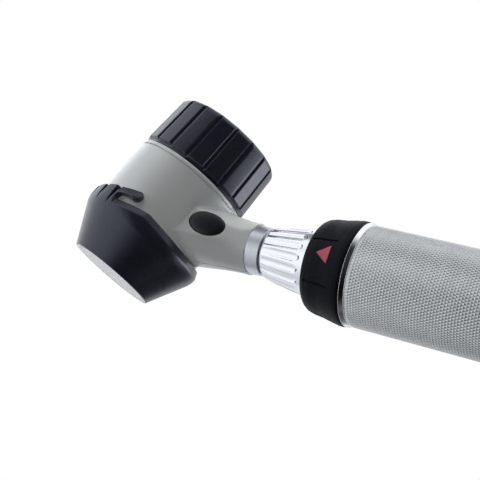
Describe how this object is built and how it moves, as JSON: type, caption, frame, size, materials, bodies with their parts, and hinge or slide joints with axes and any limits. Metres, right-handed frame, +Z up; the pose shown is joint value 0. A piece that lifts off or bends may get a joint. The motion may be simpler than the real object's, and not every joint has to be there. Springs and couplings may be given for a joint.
{
  "type": "dermatoscope",
  "caption": "Hand-held lit skin magnifier on a round battery handle: focusing head, pull-off contact cap, button, twist-lock neck and dimmer ring.",
  "frame": {"origin": "centre of the handle's base face, on the handle's axis", "axes": "+Z up the handle towards the head; the contact plate faces -X and the eyepiece +X; the button is on the -Y side"},
  "size_m": [0.0651, 0.0428, 0.2125],
  "materials": {
    "black_moulding": "satin black moulded plastic, fine texture",
    "housing_plastic": "warm white moulded plastic, satin",
    "button_rubber": "soft black rubber, slightly glossy",
    "grip_rubber": "black rubberised grip",
    "release_red": "red moulded plastic",
    "satin_ring": "turned satin metal",
    "chrome_plate": "polished chrome plate",
    "knurled_chrome": "satin chrome on a fine diamond knurl",
    "black_aluminium": "black anodised",
    "brass": "turned brass",
    "steel": "bright steel",
    "optical_glass": "coated optical glass",
    "filter_film": "grey polarising film",
    "circuit_board": "green circuit board",
    "led_lens": "clear lamp resin over phosphor",
    "insulator": "moulded insulator",
    "cell_jacket": "plain printed steel jacket"
  },
  "bodies": {
    "handle": {"handle_tube": "knurled_chrome", "collar": "chrome_plate", "connector": "chrome_plate", "set_screw": "steel", "socket_insulator": "insulator", "socket_contact": "brass", "rheostat_track": "insulator", "contact_insulator": "insulator", "front_contact": "brass", "battery_front": "cell_jacket", "battery_rear": "cell_jacket"},
    "head": {"housing_near": "housing_plastic", "housing_far": "housing_plastic", "housing_screw": "steel", "neck_ring": "satin_ring", "bayonet_plug": "chrome_plate", "plug_insulator": "insulator", "plug_contact": "brass", "optics_tube": "black_aluminium", "focus_retainer": "black_aluminium", "friction_ring": "button_rubber", "light_baffle": "black_aluminium", "viewing_filter": "filter_film", "polariser_ring": "filter_film", "led_board": "circuit_board", "leds": "led_lens", "button_board": "circuit_board", "button_switch": "insulator"},
    "contact_cap": {"contact_cap": "black_moulding", "contact_glass": "optical_glass", "glass_retainer": "black_aluminium"},
    "focus_ring": {"focus_ring": "black_moulding"},
    "lens_carrier": {"lens_carrier": "black_aluminium", "drive_pins": "steel", "field_lens": "optical_glass", "lens_spacer": "black_aluminium", "eye_lens": "optical_glass", "lens_retainer": "black_aluminium"},
    "toggle_button": {"toggle_button": "button_rubber"},
    "dimmer": {"dimmer_ring": "grip_rubber", "dimmer_sleeve": "brass", "rheostat_wiper": "brass"},
    "release_button": {"release_button": "release_red"},
    "base_cap": {"base_cap": "chrome_plate", "base_gasket": "button_rubber", "battery_spring": "steel"}
  },
  "joints": [
    {"name": "head_turn", "type": "hinge", "parent": "handle", "child": "head", "pos_m": [0, 0, 0.142], "axis": [0, 0, 1], "range_deg": [0, 35]},
    {"name": "focus_turn", "type": "hinge", "parent": "head", "child": "focus_ring", "pos_m": [0.02626, 0, 0.18164], "axis": [0.9529, 0, -0.3032], "range_deg": [-80, 80]},
    {"name": "lens_travel", "type": "slide", "parent": "head", "child": "lens_carrier", "axis": [0.9529, 0, -0.3032], "range_m": [-0.00266, 0.00266]},
    {"name": "cap_pull", "type": "slide", "parent": "head", "child": "contact_cap", "axis": [-0.9529, 0, 0.3032], "range_m": [0, 0.03]},
    {"name": "button_press", "type": "slide", "parent": "head", "child": "toggle_button", "axis": [0.0667, 0.9755, 0.2095], "range_m": [0, 0.0008], "stiffness_N_per_m": 1500, "springref_m": -0.0006},
    {"name": "dimmer_turn", "type": "hinge", "parent": "handle", "child": "dimmer", "pos_m": [0, 0, 0.1265], "axis": [0, 0, 1], "range_deg": [0, 100]},
    {"name": "release_press", "type": "slide", "parent": "dimmer", "child": "release_button", "axis": [0.165, 0.9863, 0], "range_m": [0, 0.0008], "stiffness_N_per_m": 1200, "springref_m": -0.0006},
    {"name": "base_unscrew", "type": "slide", "parent": "handle", "child": "base_cap", "axis": [0, 0, -1], "range_m": [0, 0.012]}
  ],
  "couplings": [
    {"joint": "focus_turn", "follows": "lens_travel", "rad_per_m": 523.6}
  ]
}
